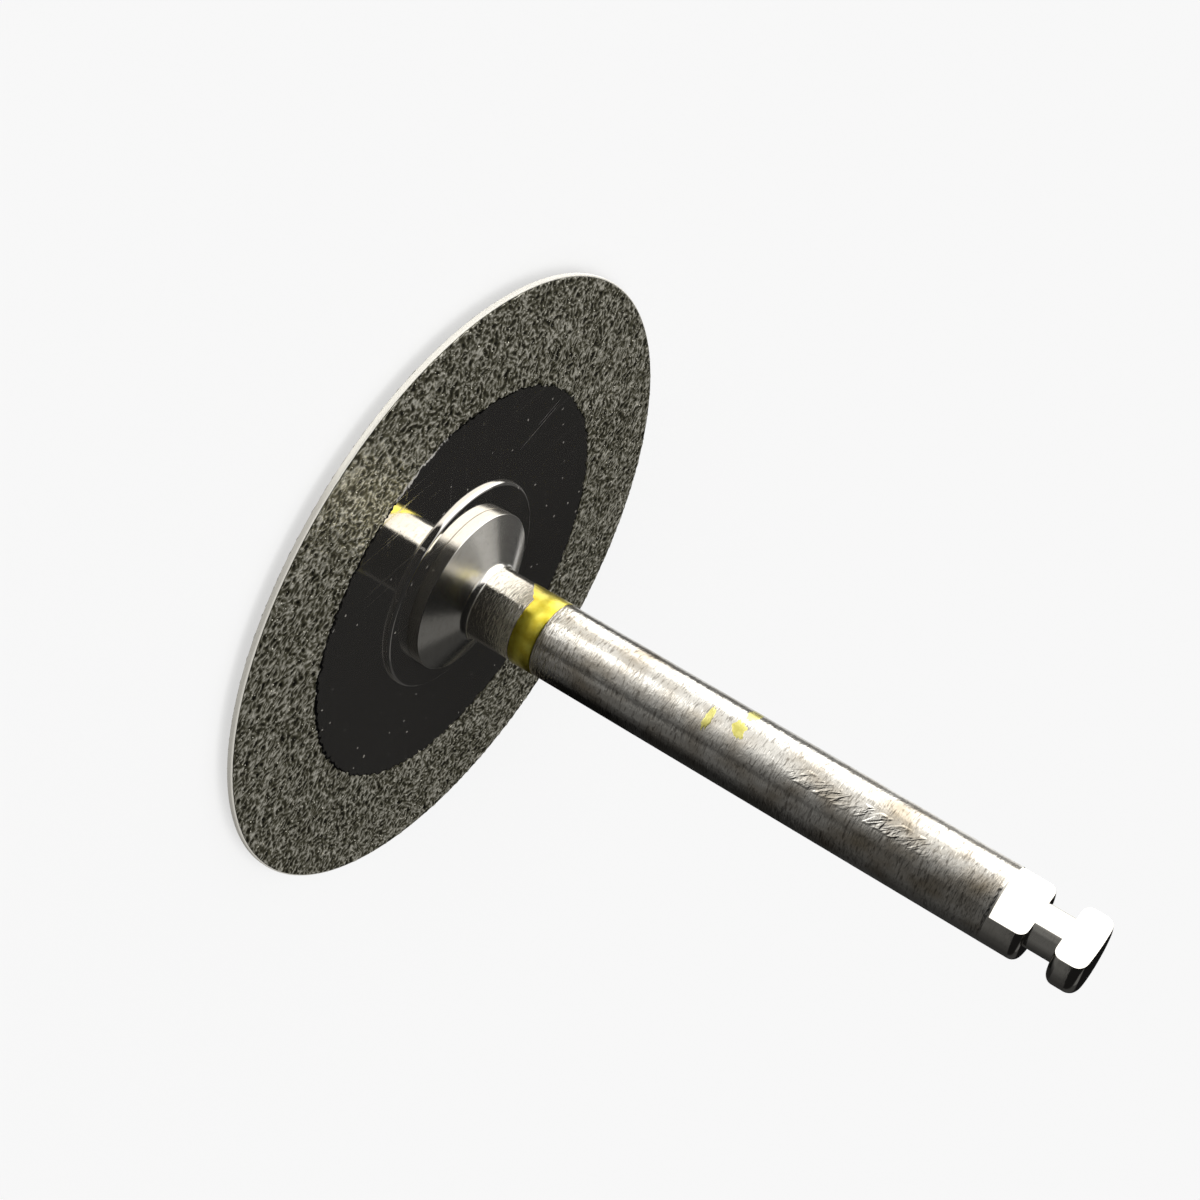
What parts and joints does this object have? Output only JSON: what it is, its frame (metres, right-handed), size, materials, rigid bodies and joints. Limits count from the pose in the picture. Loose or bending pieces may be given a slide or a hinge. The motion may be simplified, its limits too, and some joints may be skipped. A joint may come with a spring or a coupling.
{
  "type": "interproximal reduction disc",
  "caption": "Thin diamond-coated steel disc on a right-angle latch shank, for reducing enamel between teeth.",
  "frame": {"origin": "centre of the flat front face, on the shank's axis; the part stands on this face", "axes": "+Z along the shank to its latch end, +X the way the latch flat faces"},
  "size_m": [0.02, 0.02, 0.022],
  "materials": {
    "ground_steel": "satin",
    "polished_steel": "polished",
    "diamond_grit": "matte",
    "yellow_paint": "gloss"
  },
  "bodies": {
    "root": {"mandrel": "ground_steel", "disc_blade": "polished_steel", "rear_diamond_layer": "diamond_grit", "front_diamond_layer": "diamond_grit", "rear_washer": "polished_steel", "front_washer": "ground_steel", "colour_band": "yellow_paint"}
  },
  "joints": []
}
